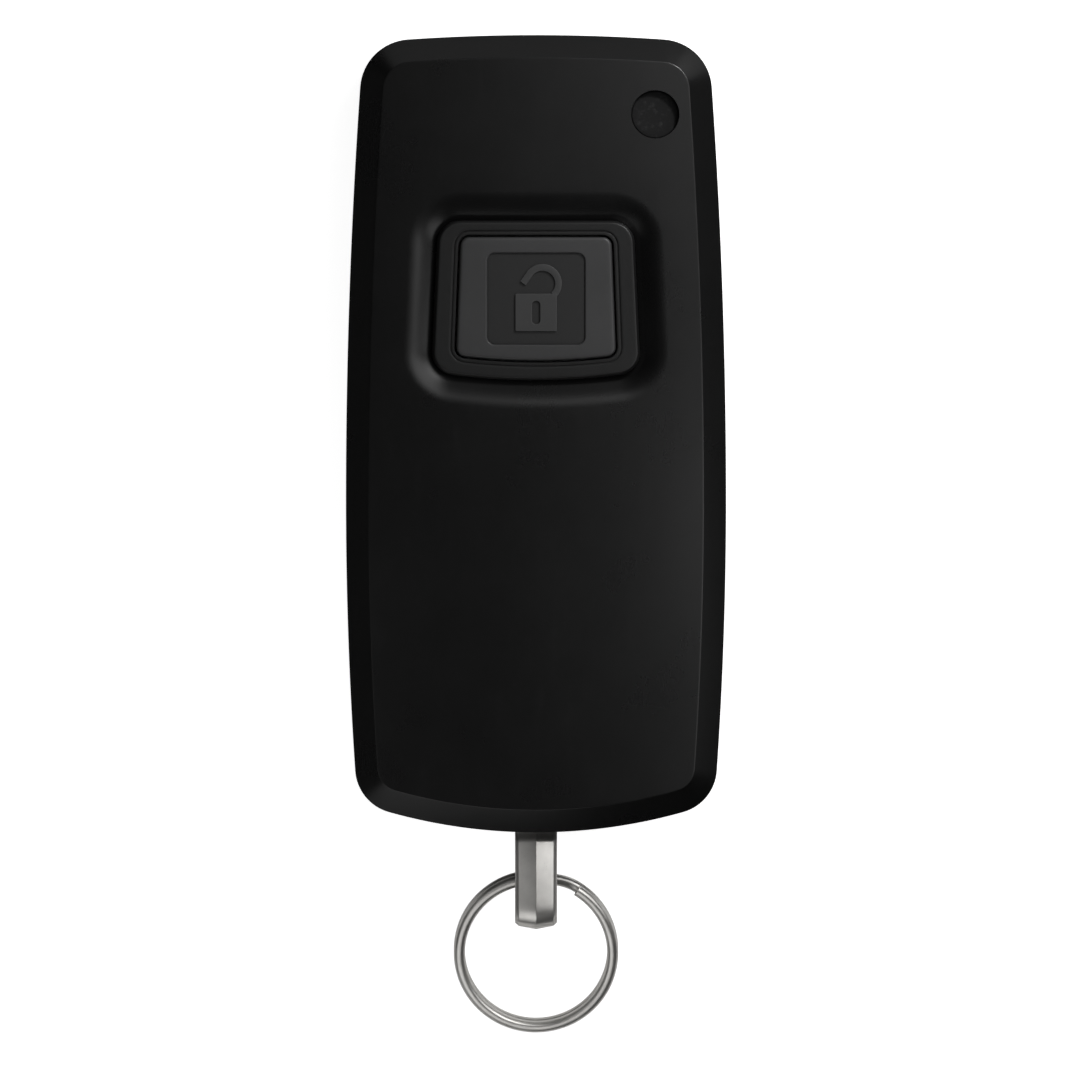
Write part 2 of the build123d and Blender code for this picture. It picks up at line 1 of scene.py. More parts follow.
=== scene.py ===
import json
from collections import namedtuple
from math import atan2, ceil, cos, pi, radians, sin, sqrt, tan

import bmesh
import bpy
from bpy.props import FloatProperty, FloatVectorProperty, PointerProperty
from mathutils import Euler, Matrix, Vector
from mathutils.geometry import delaunay_2d_cdt


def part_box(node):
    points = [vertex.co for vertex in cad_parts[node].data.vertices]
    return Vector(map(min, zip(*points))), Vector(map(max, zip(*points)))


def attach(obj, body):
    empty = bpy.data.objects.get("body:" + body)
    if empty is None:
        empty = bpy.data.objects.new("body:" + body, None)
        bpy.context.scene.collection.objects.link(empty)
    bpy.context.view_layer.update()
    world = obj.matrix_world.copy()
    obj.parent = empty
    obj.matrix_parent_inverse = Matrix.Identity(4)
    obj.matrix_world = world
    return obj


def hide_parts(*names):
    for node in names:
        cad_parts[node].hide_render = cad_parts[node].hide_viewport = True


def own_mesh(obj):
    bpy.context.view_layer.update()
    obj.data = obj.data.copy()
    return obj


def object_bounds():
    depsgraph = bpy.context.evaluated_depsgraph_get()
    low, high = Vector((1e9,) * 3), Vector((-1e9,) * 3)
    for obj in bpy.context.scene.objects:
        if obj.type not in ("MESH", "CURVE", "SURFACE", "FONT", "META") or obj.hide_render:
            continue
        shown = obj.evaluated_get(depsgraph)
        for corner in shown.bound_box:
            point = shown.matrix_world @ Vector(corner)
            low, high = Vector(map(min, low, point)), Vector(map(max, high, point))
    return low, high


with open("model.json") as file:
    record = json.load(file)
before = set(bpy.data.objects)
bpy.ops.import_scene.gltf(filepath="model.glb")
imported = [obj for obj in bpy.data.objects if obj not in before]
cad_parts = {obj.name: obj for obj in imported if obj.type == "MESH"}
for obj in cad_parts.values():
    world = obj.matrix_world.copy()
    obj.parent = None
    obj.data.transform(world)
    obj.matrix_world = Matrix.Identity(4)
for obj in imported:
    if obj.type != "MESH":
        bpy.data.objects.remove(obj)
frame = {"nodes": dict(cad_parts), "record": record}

bl_info = {
    "name": "Door lock remote control",
    "version": (1, 0, 0),
    "blender": (4, 5, 0),
    "location": "3D View > Sidebar > Door remote",
    "description": "Dresses the packed solids of a door lock remote control",
    "category": "Object",
}

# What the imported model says, in metres
CAD_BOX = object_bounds()
JOINTS = {joint["name"]: joint for joint in frame["record"]["behaviour"]["joints"]}
MOUNTS = {mount["name"]: mount for mount in frame["record"]["mounts"]}
Box = namedtuple("Box", "low high middle")


def node_box(node):
    """Lowest corner, highest corner and middle of a CAD node."""
    low, high = (Vector(corner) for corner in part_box(node))
    return Box(low, high, (low + high) / 2)


REAR = node_box("rear_cover")
FRONT = node_box("front_cover")
CAP = node_box("button_cap")
BEZEL = node_box("button_bezel")
WINDOW = node_box("indicator_window")
SCREWS = node_box("case_screws")
LINK = node_box("key_link")
RING = node_box("split_ring")
PIN = Vector(JOINTS["link_swing"]["pos_m"])

# Millimetres in a metre, flat sides of the window and the screws, and the tint of plain steel
MM = 1000
WINDOW_SIDES = 64
SCREW_SIDES = 36
STEEL = (0.4, 0.4, 0.39)

# Panels: their aim, then tilt, bearing, width and height in degrees, then brightness and place
PANELS = {
    "key": ("face", 33, 46, 28, 44, 1.85, "Large panel at the upper right"),
    "low_left": ("face", 66, 238, 36, 20, 0.42, "Low panel at the lower left"),
    "top": ("face", 66, 95, 60, 24, 0.35, "Low panel above the top edge"),
    "corner": ("face", 66, 42, 30, 24, 0.6, "Low panel at the upper right"),
    "right": ("face", 66, 0, 34, 20, 0.05, "Low panel at the right"),
    "left": ("face", 66, 180, 60, 20, 0.05, "Low panel at the left"),
    "spot": ("window", 41, 50, 8, 8, 98.0, "Near panel that draws the shadows"),
    "ring_low": ("ring", 35, 244, 46, 34, 0.98, "Near panel below the split ring"),
    "ring_left": ("ring", 34, 165, 30, 28, 0.36, "Near panel left of the split ring"),
    "ring_right": ("ring", 42, 28, 34, 38, 1.15, "Near panel right of the split ring"),
    "under": ("face", 147, 42, 28, 44, 2.2, "Large panel that lights the back"),
    "under_low": ("face", 116, 225, 60, 24, 0.6, "Low panel that lights the back"),
}
SKYLINE_TILT = 82
SKYLINE_BEARINGS = (0, 90, 180, 270)
SKYLINE_SPAN = (80, 14)


def length(name, description, default):
    """A size that a user can change, in metres."""
    return FloatProperty(
        name=name, description=description, default=default, precision=6, unit="LENGTH")


def strength(name, description, default, **more):
    """A plain number, such as how bright a light looks."""
    return FloatProperty(name=name, description=description, default=default, min=0, **more)


def share(name, description, default):
    """A number from nought to one."""
    return strength(name, description, default, max=1, subtype="FACTOR")


def colour(name, description, default):
    """A linear colour."""
    return FloatVectorProperty(
        name=name, description=description, default=default, size=3, min=0, subtype="COLOR")


class HousingSizes(bpy.types.PropertyGroup):
    """Sizes of the two shells."""

    top_narrowing: length("Top narrowing", "How much narrower the top corners are", 0.0034)
    top_drop: length("Top drop", "Bow of the top edge", 0.00078)
    low_narrowing: length("Bottom narrowing", "How much narrower the bottom corners are", 0.00225)
    low_rise: length("Bottom rise", "Bow of the bottom edge", 0.00294)
    widest_below: length("Widest place", "How far it lies below the middle", 0.0064)
    top_corner: length("Top corners", "Radius of both", 0.005)
    low_corner: length("Bottom corners", "Radius of both", 0.0045)
    bevel_width: length("Bevel width", "Bevel round the face", 0.0022)
    bevel_depth: length("Bevel depth", "Bevel round the face", 0.0015)
    crown: length("Crown", "Fall of the face from its middle to the bevel", 0.0003)
    wall: length("Wall", "Thickness of the side walls", 0.0015)
    front_wall: length("Front wall", "Thickness of the front wall", 0.0016)
    edge_round: length("Edge round", "Radius of the crisp edges", 0.00004)
    moat_width: length("Moat width", "Soft channel round the bezel", 0.0028)
    moat_depth: length("Moat depth", "Soft channel round the bezel", 0.00075)
    window_hole: length("Window hole", "Diameter of the indicator hole", 0.0047)


class ButtonSizes(bpy.types.PropertyGroup):
    """Sizes of the bezel, the press button and its sign."""

    bezel_top: length("Bezel top", "Width along the top edge", 0.0191)
    bezel_low: length("Bezel bottom", "Width along the bottom edge", 0.0205)
    bezel_height: length("Bezel height", "Height over its bow", 0.0156)
    bezel_bow: length("Bezel bow", "Bow of the bottom edge", 0.0005)
    bezel_corner: length("Bezel corner", "Radius of the corners", 0.0023)
    bezel_edge: length("Bezel edge", "Bevel along the outside", 0.00025)
    bezel_lip: length("Bezel lip", "Width of the sunk lip round the opening", 0.00045)
    bezel_lip_depth: length("Bezel lip depth", "Depth of the sunk lip", 0.0002)
    bezel_slit: length("Bezel slit", "Width of the fine slit beside the lip", 0.00013)
    cap_top: length("Cap top", "Width along the top edge", 0.0147)
    cap_low: length("Cap bottom", "Width along the bottom edge", 0.0156)
    cap_height: length("Cap height", "Height over its bow", 0.01205)
    cap_bow: length("Cap bow", "Bow of the bottom edge", 0.0004)
    cap_corner: length("Cap corner", "Radius of the corners", 0.0009)
    cap_edge: length("Cap edge", "Radius of the upper edge", 0.00036)
    cap_gap: length("Cap gap", "Gap between cap and bezel", 0.0002)
    recess_width: length("Recess width", "Width of the sunk square", 0.0096)
    recess_height: length("Recess height", "Height of the sunk square", 0.009)
    recess_depth: length("Recess depth", "Depth of the sunk square", 0.0003)
    recess_corner: length("Recess corner", "Radius of its corners", 0.0008)
    sign_width: length("Padlock width", "Width of its body", 0.00404)
    sign_height: length("Padlock height", "Height of its body", 0.00366)
    sign_bow_radius: length("Shackle radius", "Radius of its middle line", 0.00157)
    sign_bow_width: length("Shackle width", "Width of the bar", 0.00066)
    sign_bow_leg: length("Shackle leg", "Length of the straight free leg", 0.00105)
    sign_relief: length("Sign relief", "Height above the sunk square", 0.00026)


class MetalSizes(bpy.types.PropertyGroup):
    """Sizes of the link, the split ring and the screws."""

    link_width: length("Link width", "Width of the strap", 0.0041)
    link_ridge: length("Ridge", "Thickness of the strap at its ridge", 0.0012)
    link_side: length("Sides", "Thickness of the strap at its sides", 0.00055)
    waist: share("Waist", "How much thinner the strap is at the housing's edge", 0.4)
    belly: share("Belly", "How much thinner the strap gets towards the housing", 0.25)
    end_power: strength("End squareness", "Two for a round outer end, more for a squarer one", 3.4)
    link_gap: length("Link gap", "Gap inside the loop", 0.00296)
    wire_radial: length("Wire width", "Radial width of the ring's wire", 0.0011)
    wire_axial: length("Wire height", "Height of the ring's wire", 0.0012)
    wire_fullness: share("Wire fullness", "Nought for a square wire, one for a round one", 0.85)
    coil_gap: length("Coil gap", "Gap between the ring's two turns", 0.00005)
    screw_head: length("Screw head", "Diameter of a head", 0.0036)
    screw_head_height: length("Screw head height", "Height of a head", 0.0013)
    screw_core: length("Screw core", "Diameter of a shank", 0.00178)
    screw_pitch: length("Screw pitch", "Pitch of the threads", 0.0007)
    thread_depth: length("Thread depth", "Depth of the threads", 0.0002)


class Finishes(bpy.types.PropertyGroup):
    """Colours and textures of the materials."""

    shell: colour("Shell colour", "Black of the moulded shells", (0.0036, 0.0036, 0.0037))
    shell_gloss: share("Shell roughness", "Roughness of the front shell", 0.28)
    bezel: colour("Bezel colour", "Black of the bezel", (0.0045, 0.0045, 0.0046))
    cap: colour("Button colour", "Grey of the press button", (0.046, 0.046, 0.047))
    field: colour("Field colour", "Grey of the sunk square", (0.012, 0.012, 0.0122))
    sign: colour("Sign colour", "Grey of the padlock relief", (0.045, 0.045, 0.0455))
    lens: colour("Window colour", "Smoke grey of the lamp window", (0.0095, 0.0095, 0.0097))
    nickel: colour("Nickel colour", "Tint of the plated link and ring", (0.78, 0.765, 0.735))
    mask: colour("Solder mask colour", "Green of the circuit board", (0.01, 0.09, 0.035))
    wear: share("Wear", "How much the edges are polished by use", 0.3)


class StageSettings(bpy.types.PropertyGroup):
    """Floor, camera and lights."""

    floor: colour("Floor colour", "Colour of the pale floor", (0.92, 0.92, 0.92))
    glow: share("Floor glow", "How much the floor glows, like a light table", 0.9)
    distance: length("Camera distance", "From the camera to the face", 4.0)
    frame_width: length("Frame width", "Width of the picture at the face", 0.10439)
    centre_x: length("Picture centre X", "Where the camera points", -0.0001)
    centre_y: length("Picture centre Y", "Where the camera points", -0.00988)
    skyline: strength("Skyline", "Brightness of the four panels near the horizon", 0.03)
    side_glow: strength("Side glow", "Floor brightness that the side walls mirror", 0.22)
    end_glow: strength("End glow", "Floor brightness that the bottom end mirrors", 0.06)
    air: strength("Backdrop", "Brightness of the backdrop that only the camera sees", 1.0)


for panel, (*_, brightness, place) in PANELS.items():
    panel_name = panel.replace("_", " ").capitalize()
    StageSettings.__annotations__[panel] = strength(panel_name, place, brightness)


def sizes(group):
    """The property group of that name in this scene."""
    return getattr(bpy.context.scene, f"remote_{group}")


# Outlines: each is a list of places on the rim with the directions that point out of it


def ray(angle):
    """Unit vector in plan at an angle."""
    return Vector((cos(angle), sin(angle)))


def bearing(vector):
    """Angle of a vector in plan."""
    return atan2(vector.y, vector.x)


def arc(centre, radius, start, end, steps):
    """Places and outward directions along an arc, without its last place."""
    turned = [start + (end - start) * step / steps for step in range(steps)]
    return [(centre + radius * ray(angle), ray(angle)) for angle in turned]


def crossing(first, first_radius, second, second_radius, side):
    """Where two circles cross, on one side of the line between their centres."""
    apart = second - first
    distance = apart.length
    reach = (first_radius ** 2 - second_radius ** 2 + distance ** 2) / (2 * distance)
    offside = sqrt(first_radius ** 2 - reach ** 2)
    across = Vector((apart.y, -apart.x)) / distance * side
    return first + apart * reach / distance + across * offside


def housing_rim():
    """Rim of the housing, clockwise from the middle of its top edge."""
    s = sizes("housing")
    end_steps, corner_steps, side_steps = 18, 16, 22
    half_width = (REAR.high.x - REAR.low.x) / 2
    half_length = (REAR.high.y - REAR.low.y) / 2
    quarters = []
    for end, narrowing, rise, corner in (
        (1, s.top_narrowing / 2, s.top_drop, s.top_corner),
        (-1, s.low_narrowing / 2, s.low_rise, s.low_corner),
    ):
        tip = Vector((half_width - narrowing, end * (half_length - rise)))
        height = tip.y + s.widest_below
        side_radius = (narrowing ** 2 + height ** 2) / (2 * narrowing)
        side_centre = Vector((half_width - side_radius, -s.widest_below))
        end_radius = (tip.x ** 2 + rise ** 2) / (2 * rise)
        end_centre = Vector((0, end * (half_length - end_radius)))
        middle = crossing(side_centre, side_radius - corner, end_centre, end_radius - corner, -end)
        end_turn = bearing(middle - end_centre)
        side_turn = bearing(middle - side_centre)
        quarter = arc(end_centre, end_radius, end * pi / 2, end_turn, end_steps)
        quarter += arc(middle, corner, end_turn, side_turn, corner_steps)
        quarter += arc(side_centre, side_radius, side_turn, 0, side_steps)
        quarters.append(quarter)
    widest = (Vector((half_width, -s.widest_below)), Vector((1, 0)))
    right = quarters[0] + [widest] + quarters[1][::-1]
    left = [(Vector((-p.x, p.y)), Vector((-n.x, n.y))) for p, n in right[-2:0:-1]]
    return right + left


def keystone_rim(middle, top, low, height, bow, corner):
    """Rim of a keystone with round corners and a bowed bottom edge, clockwise."""
    corner_steps, side_steps, bow_steps = 10, 8, 16
    slant = atan2((low - top) / 2, height - bow)
    top_half = top / 2 - corner / cos(slant) + corner * tan(slant)
    low_half = low / 2 - corner / cos(slant) - corner * tan(slant)
    top_y = height / 2 - corner
    low_y = bow - height / 2 + corner
    bow_radius = (low_half ** 2 + bow ** 2) / (2 * bow)
    bow_centre = Vector((0, low_y - bow + bow_radius))
    tilt = atan2(low_half, bow_centre.y - low_y)
    corners = [
        (Vector((top_half, top_y)), pi / 2, -slant),
        (Vector((low_half, low_y)), -slant, tilt - pi / 2),
        (Vector((-low_half, low_y)), -pi / 2 - tilt, slant - pi),
        (Vector((-top_half, top_y)), slant - pi, -3 * pi / 2),
    ]
    rim = []
    for number, (place, start, end) in enumerate(corners):
        for step in range(corner_steps + 1):
            rim.append((place, ray(start + (end - start) * step / corner_steps)))
        following = corners[(number + 1) % 4]
        if number == 1:
            rim += arc(bow_centre, bow_radius, end, following[1], bow_steps)[1:]
        else:
            run = following[0] - place
            rim += [(place + run * step / side_steps, ray(end)) for step in range(1, side_steps)]
    shift = Vector(middle.xy)
    return [(place + shift + out * corner, out) for place, out in rim]


def round_rim(middle, radius, count):
    """Rim of a circle, clockwise."""
    turns = [-2 * pi * step / count for step in range(count)]
    return [(Vector(middle.xy) + radius * ray(turn), ray(turn)) for turn in turns]


def box_rim(middle, width, height, corner):
    """Rim of a rectangle with round corners, clockwise."""
    steps = 8
    rim = []
    for x_side, y_side, start in ((1, 1, pi / 2), (1, -1, 0), (-1, -1, -pi / 2), (-1, 1, -pi)):
        place = Vector((x_side * (width / 2 - corner), y_side * (height / 2 - corner)))
        for step in range(steps + 1):
            out = ray(start - pi / 2 * step / steps)
            rim.append((Vector(middle.xy) + place + out * corner, out))
    return rim


def bezel_rim():
    """Outer rim of the bezel."""
    s = sizes("button")
    widths = (s.bezel_top, s.bezel_low)
    return keystone_rim(BEZEL.middle, *widths, s.bezel_height, s.bezel_bow, s.bezel_corner)


def cap_rim(grow=0.0):
    """Rim of the press cap, with rounder corners as it grows."""
    s = sizes("button")
    rim = keystone_rim(CAP.middle, s.cap_top, s.cap_low, s.cap_height, s.cap_bow, s.cap_corner)
    return [(place + out * grow, out) for place, out in rim]


def moved(rim, outwards):
    """Places of a rim, moved outwards."""
    return [place + out * outwards for place, out in rim]


def softened(profile, radius, steps=4):
    """A profile of tuples with its inner corners rounded."""
    points = [Vector(point) for point in profile]
    soft = [points[0]]
    for before, corner, after in zip(points, points[1:], points[2:]):
        reach_in = min(radius, (before - corner).length / 2)
        reach_out = min(radius, (after - corner).length / 2)
        start = corner + (before - corner).normalized() * reach_in
        end = corner + (after - corner).normalized() * reach_out
        for step in range(steps + 1):
            t = step / steps
            soft.append(start * (1 - t) ** 2 + corner * 2 * t * (1 - t) + end * t ** 2)
    return soft + [points[-1]]


def inside(point, loop):
    """True if a point in plan lies inside a loop."""
    odd = False
    for a, b in zip(loop, loop[1:] + loop[:1]):
        if (a.y > point.y) != (b.y > point.y):
            if point.x < a.x + (b.x - a.x) * (point.y - a.y) / (b.y - a.y):
                odd = not odd
    return odd


# Heights: each is a number or a rule that gives one for a place in plan


def as_rule(height):
    """The rule for a height, also where it is a plain number."""
    return height if callable(height) else lambda place: height


def crown_height(place):
    """Height of the crowned face above the table at a place in plan."""
    s = sizes("housing")
    flat_half = (REAR.high.x - REAR.low.x) / 2 - s.bevel_width
    radius = flat_half ** 2 / (2 * s.crown)
    return FRONT.high.z - (radius - sqrt(radius ** 2 - place.x ** 2))


def on_crown(rise, follows):
    """A rule for heights so far above the top, level at nought and along the crown at one."""
    top = FRONT.high.z
    return lambda place: top + rise - follows * (top - crown_height(place))


def placed(name, data):
    """A new object in the scene."""
    thing = bpy.data.objects.new(name, data)
    bpy.context.scene.collection.objects.link(thing)
    return thing


class Skin:
    """The surface of one piece, built from rings and filled sheets."""

    def __init__(self):
        self.mesh = bmesh.new()

    def ring(self, places, height):
        """Adds a ring of places in plan."""
        rule = as_rule(height)
        return self.loop([(place.x, place.y, rule(place)) for place in places])

    def loop(self, places):
        """Adds a ring of places in space."""
        return [self.mesh.verts.new(place) for place in places]

    def rings(self, rim, profile, radius, steps=4):
        """Adds rings along a softened profile of distances out of a rim and their heights."""
        soft = softened(profile, radius, steps)
        return [self.ring(moved(rim, out), height) for out, height in soft]

    def strip(self, rings):
        """Joins rings of one count to each other."""
        for low, high in zip(rings, rings[1:]):
            for step, after in enumerate([*range(1, len(low)), 0]):
                self.mesh.faces.new((low[step], low[after], high[after], high[step]))

    def wall(self, rim, profile, radius, steps=4):
        """Joins the rings along a profile and gives them."""
        rings = self.rings(rim, profile, radius, steps)
        self.strip(rings)
        return rings

    def tube(self, rings):
        """Joins rings and closes both ends."""
        self.strip(rings)
        self.lid(rings[0])
        self.lid(rings[-1])

    def lid(self, ring):
        """Closes a ring with one face."""
        self.mesh.faces.new(ring)

    def sheet(self, outer, holes, height, spacing=None):
        """Fills the space between loops of places in plan with triangles."""
        rule = as_rule(height)
        nearest = 1e-6
        loops = [[place * MM for place in loop] for loop in (outer, *holes)]
        places, edges = [], []
        for loop in loops:
            first = len(places)
            places += loop
            edges += [(first + n, first + (n + 1) % len(loop)) for n in range(len(loop))]
        if spacing:
            places += self.filling(places, loops, spacing)
        flat, _, faces, _, _, _ = delaunay_2d_cdt(places, edges, [], 1, nearest)
        verts = self.loop([(p.x / MM, p.y / MM, rule(p / MM)) for p in flat])
        for face in faces:
            centre = sum((flat[n] for n in face), Vector((0, 0))) / len(face)
            if not any(inside(centre, hole) for hole in loops[1:]):
                self.mesh.faces.new([verts[n] for n in face])
        loose = [v for v in verts if not v.link_faces]
        bmesh.ops.delete(self.mesh, geom=loose, context="VERTS")

    @staticmethod
    def filling(rims, loops, spacing):
        """A grid of places inside the outer loop that keeps off every rim."""
        x_step, y_step = (value * MM for value in spacing)
        xs = [p.x for p in loops[0]]
        ys = [p.y for p in loops[0]]
        grid = []
        for row in range(ceil((max(ys) - min(ys)) / y_step)):
            for column in range(ceil((max(xs) - min(xs)) / x_step)):
                p = Vector((min(xs) + (column + 0.5) * x_step, min(ys) + (row + 0.5) * y_step))
                if not inside(p, loops[0]) or any(inside(p, hole) for hole in loops[1:]):
                    continue
                if min((p - q).length for q in rims) > x_step / 2:
                    grid.append(p)
        return grid

    def plain(self, name, material):
        """Makes an object of the surface as it is."""
        mesh = bpy.data.meshes.new(name)
        self.mesh.to_mesh(mesh)
        self.mesh.free()
        mesh.materials.append(material)
        return placed(name, mesh)

    def done(self, name, material, body, node, crisp=50):
        """Makes the object, which rides on a body and may stand for a CAD node."""
        weld = 1e-7
        bmesh.ops.remove_doubles(self.mesh, verts=self.mesh.verts, dist=weld)
        bmesh.ops.recalc_face_normals(self.mesh, faces=self.mesh.faces)
        piece = self.plain(name, material)
        for face in piece.data.polygons:
            face.use_smooth = True
        piece.data.set_sharp_from_angle(angle=radians(crisp))
        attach(piece, body)
        if node:
            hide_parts(node)


# Materials


class Wire:
    """A socket in a material; arithmetic on it adds Math nodes."""

    def __init__(self, tree, socket=None):
        self.tree = tree
        self.socket = socket

    def node(self, kind, settings=None, sockets=None, output=0):
        """Adds a node with its settings and what goes into its sockets, and gives one output."""
        node = self.tree.nodes.new(kind)
        for name, value in (settings or {}).items():
            setattr(node, name, value)
        for name, value in (sockets or {}).items():
            self.feed(node.inputs[name], value)
        return Wire(self.tree, node.outputs[output])

    def feed(self, socket, value):
        """Links a wire to a socket, or sets the socket's value."""
        if isinstance(value, Wire):
            self.tree.links.new(value.socket, socket)
        elif hasattr(value, "__len__") and len(socket.default_value) == 4:
            socket.default_value = (*value[:3], 1)
        else:
            socket.default_value = value

    def math(self, operation, *values):
        """One Math node."""
        return self.node("ShaderNodeMath", {"operation": operation}, dict(enumerate(values)))

    def __add__(self, other):
        return self.math("ADD", self, other)

    def __radd__(self, other):
        return self.math("ADD", other, self)

    def __sub__(self, other):
        return self.math("SUBTRACT", self, other)

    def __rsub__(self, other):
        return self.math("SUBTRACT", other, self)

    def __mul__(self, other):
        return self.math("MULTIPLY", self, other)

    def __rmul__(self, other):
        return self.math("MULTIPLY", other, self)

    def spread(self, low, high):
        """The value as a mask, nought up to low and one from high on."""
        span = {"Value": self, "From Min": low, "From Max": high}
        return self.node("ShaderNodeMapRange", {"clamp": True}, span)

    def blend(self, first, second):
        """A colour between two, by this value."""
        pair = {"Factor": self, 6: first, 7: second}
        return self.node("ShaderNodeMix", {"data_type": "RGBA"}, pair, output=2)


class Finish(Wire):
    """A new material with one Principled shader."""

    def __init__(self, name, roughness=0.5, specular=0.5):
        self.material = bpy.data.materials.new(name)
        self.material.use_nodes = True
        super().__init__(self.material.node_tree)
        self.shader = self.tree.nodes["Principled BSDF"]
        self.place = self.node("ShaderNodeTexCoord", output=3)
        self.put("Roughness", roughness)
        self.put("Specular IOR Level", specular)

    def put(self, socket, value):
        """Sets or links a socket of the shader."""
        self.feed(self.shader.inputs[socket], value)

    def scaled(self, per_mm, stretch):
        """Places with so many units to the millimetre, stretched along the axes."""
        factors = {0: self.place, 1: Vector(stretch) * per_mm * MM}
        return self.node("ShaderNodeVectorMath", {"operation": "MULTIPLY"}, factors)

    def noise(self, per_mm, detail=3.0, stretch=(1, 1, 1), roughness=0.5):
        """Noise with so many cells to the millimetre."""
        sockets = {"Scale": 1.0, "Detail": detail, "Roughness": roughness}
        sockets["Vector"] = self.scaled(per_mm, stretch)
        return self.node("ShaderNodeTexNoise", {}, sockets)

    def cells(self, per_mm, feature="F1", stretch=(1, 1, 1)):
        """Distances in a field of cells, so many to the millimetre."""
        sockets = {"Scale": 1.0, "Vector": self.scaled(per_mm, stretch)}
        return self.node("ShaderNodeTexVoronoi", {"feature": feature}, sockets)

    def edges(self, radius):
        """Mask of the convex and concave edges."""
        soft = self.node("ShaderNodeBevel", {"samples": 6}, {"Radius": radius})
        normal = self.node("ShaderNodeNewGeometry", output="Normal")
        dot = {"operation": "DOT_PRODUCT"}
        meeting = self.node("ShaderNodeVectorMath", dot, {0: soft, 1: normal}, "Value")
        return (1 - meeting).spread(0.01, 0.2)

    def made(self, base, roughness, height, depth):
        """Feeds the shader its colour, roughness and relief, whose depth is in metres."""
        self.put("Base Color", base)
        self.put("Roughness", roughness)
        self.put("Normal", self.node("ShaderNodeBump", {}, {"Height": height, "Distance": depth}))
        return self.material


def shade(tint, factor, lift=0.0):
    """A tint made darker or lighter, with no channel over one."""
    return [min(1.0, part * factor + lift) for part in tint]


def moulded(name, tint, roughness, grain_per_mm, grain_depth, wear=1.0):
    """Moulded plastic: fine texture, faint handling marks and edges polished by use."""
    finish = Finish(name, roughness)
    grain = finish.noise(grain_per_mm, 2.0)
    cloud = finish.noise(0.12, 4.0, roughness=0.6)
    rubs = finish.noise(1.1, 5.0, (1, 0.12, 1), 0.7).spread(0.56, 0.75)
    patches = finish.noise(0.6, 4.0).spread(0.35, 0.6)
    worn = finish.edges(0.00022) * patches * (sizes("finishes").wear * wear)
    base = (cloud.spread(0.3, 0.7) * 0.5).blend(shade(tint, 0.86), shade(tint, 1.18))
    base = worn.blend(base, shade(tint, 3, 0.012))
    roughness = roughness + (cloud - 0.5) * 0.05 + rubs * 0.03 - worn * 0.08
    return finish.made(base, roughness, grain + rubs * 0.04, grain_depth)


def rubber(name, tint):
    """Soft seal material: dull, dusty, with a pebbled skin."""
    finish = Finish(name, 0.8, specular=0.3)
    dust = finish.noise(0.9, 5.0, roughness=0.7).spread(0.5, 0.75)
    base = (dust * 0.4).blend(tint, shade(tint, 1, 0.05))
    roughness = 0.74 + finish.noise(2.2, 2.0) * 0.16
    return finish.made(base, roughness, finish.cells(5.0), 0.00001)


def brushed(name, tint, roughness, stretch, per_mm, depth=0.0000025, metallic=1.0):
    """Plated metal with fine brushing, faint stains and bright edges."""
    finish = Finish(name)
    finish.put("Metallic", metallic)
    lines = finish.noise(per_mm, 4.0, stretch, 0.75)
    stain = finish.noise(0.35, 4.0, roughness=0.6)
    worn = finish.edges(0.00012) * 0.4
    base = stain.spread(0.3, 0.7).blend(shade(tint, 0.8), tint)
    base = worn.blend(base, shade(tint, 1.25))
    roughness = roughness + (lines - 0.5) * 0.16 + (stain - 0.5) * 0.08 - worn * 0.05
    return finish.made(base, roughness, lines, depth)


def board_mask(name, tint):
    """Solder mask over copper tracks and a weave of glass, with bare pads."""
    pad_tint = (0.75, 0.6, 0.3)
    finish = Finish(name, 0.38)
    finish.put("Coat Weight", 0.3)
    raised = 1 - finish.cells(0.55, "DISTANCE_TO_EDGE", (1, 0.35, 1)).spread(0.05, 0.09)
    weave = finish.noise(3.0, 1.0, (1, 1, 0.2))
    pads = (1 - finish.cells(0.4).spread(0.12, 0.15)) * 0.9
    green = raised.blend(tint, shade(tint, 1.9))
    finish.put("Metallic", pads)
    base = pads.blend(green, pad_tint)
    return finish.made(base, 0.36 + weave * 0.12, raised + weave * 0.2, 0.00001)


def lens(name, tint):
    """Smoked window: dark plastic with cloudy depth, a fine grain and faint dust."""
    dust_tint = (0.09, 0.09, 0.09)
    finish = Finish(name, specular=0.1)
    dust = finish.noise(1.6, 5.0, roughness=0.7).spread(0.52, 0.75)
    base = finish.noise(0.3, 2.0).blend(tint, shade(tint, 1.5))
    base = (dust * 0.25).blend(base, dust_tint)
    return finish.made(base, 0.55 + dust * 0.12, finish.noise(6.0, 2.0), 0.000002)


def ceramic(name, tint):
    """Chip body with fine specks in a dull face."""
    finish = Finish(name)
    speck = finish.noise(6.0, 3.0)
    base = speck.spread(0.3, 0.7).blend(shade(tint, 0.8), tint)
    return finish.made(base, 0.45 + speck * 0.2, speck, 0.000003)


def paper(name, tint, glow):
    """Pale sheet that glows on its upper side and is clear from below."""
    finish = Finish(name, 0.8, specular=0.1)
    finish.put("Base Color", finish.noise(0.4, 3.0).blend(shade(tint, 0.99), tint))
    finish.put("Emission Color", (1, 1, 1))
    finish.put("Emission Strength", glow)
    finish.put("Alpha", 1 - finish.node("ShaderNodeNewGeometry", output="Backfacing"))
    return finish.material


# Pieces


